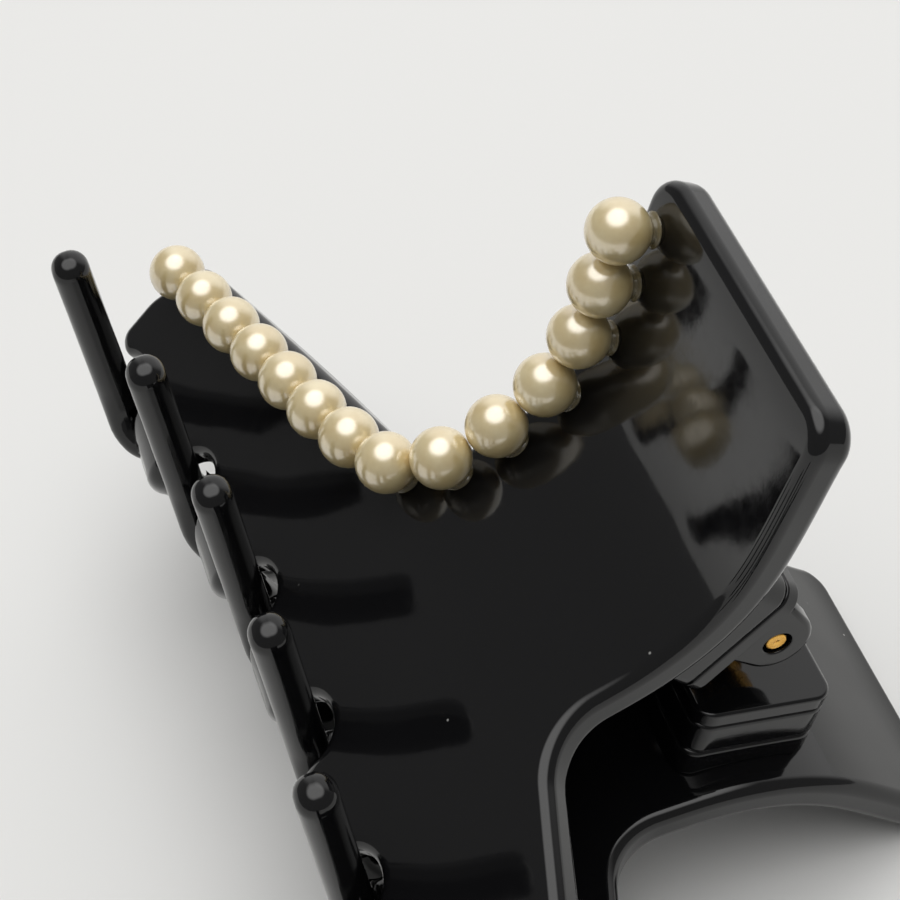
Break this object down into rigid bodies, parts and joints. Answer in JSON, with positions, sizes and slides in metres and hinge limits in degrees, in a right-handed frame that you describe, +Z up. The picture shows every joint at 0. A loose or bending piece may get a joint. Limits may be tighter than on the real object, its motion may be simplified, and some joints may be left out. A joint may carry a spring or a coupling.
{
  "type": "claw clip",
  "caption": "Large glossy black claw clip with two toothed jaws on a brass pin and torsion spring, and a row of cream pearls along one notch.",
  "frame": {"origin": "on the table under the middle of the closed clip, which lies on its back handle's tip and the front jaw's outermost teeth", "axes": "+X along the hinge pin towards the end with the pearls, +Y towards the toothed side, +Z up from the table"},
  "size_m": [0.12, 0.0698, 0.0706],
  "materials": {
    "black_acetate": "tumble-polished black cellulose acetate, high gloss",
    "brass": "polished brass with fine drawing marks",
    "spring_steel": "dark drawn spring wire",
    "pearl": "cream nacre coat, soft gloss"
  },
  "bodies": {
    "back_jaw": {"jaw_back": "black_acetate", "hinge_pad_back": "black_acetate", "hinge_riser_back": "black_acetate", "hinge_knuckle_back": "black_acetate", "hinge_pin": "brass", "spring_bush": "brass", "torsion_spring": "spring_steel"},
    "front_jaw": {"jaw_front": "black_acetate", "hinge_pad_front": "black_acetate", "hinge_riser_front": "black_acetate", "hinge_lugs_front": "black_acetate", "pearl_01": "pearl", "pearl_02": "pearl", "pearl_03": "pearl", "pearl_04": "pearl", "pearl_05": "pearl", "pearl_06": "pearl", "pearl_07": "pearl", "pearl_08": "pearl", "pearl_09": "pearl", "pearl_10": "pearl", "pearl_11": "pearl", "pearl_12": "pearl", "pearl_13": "pearl", "pearl_14": "pearl"}
  },
  "joints": [
    {"name": "jaw_hinge", "type": "hinge", "parent": "back_jaw", "child": "front_jaw", "pos_m": [0, -0.01829, 0.03363], "axis": [1, 0, 0], "range_deg": [0, 80], "stiffness_Nm_per_rad": 0.2, "springref_deg": -34.38, "deforming": ["torsion_spring"]}
  ]
}
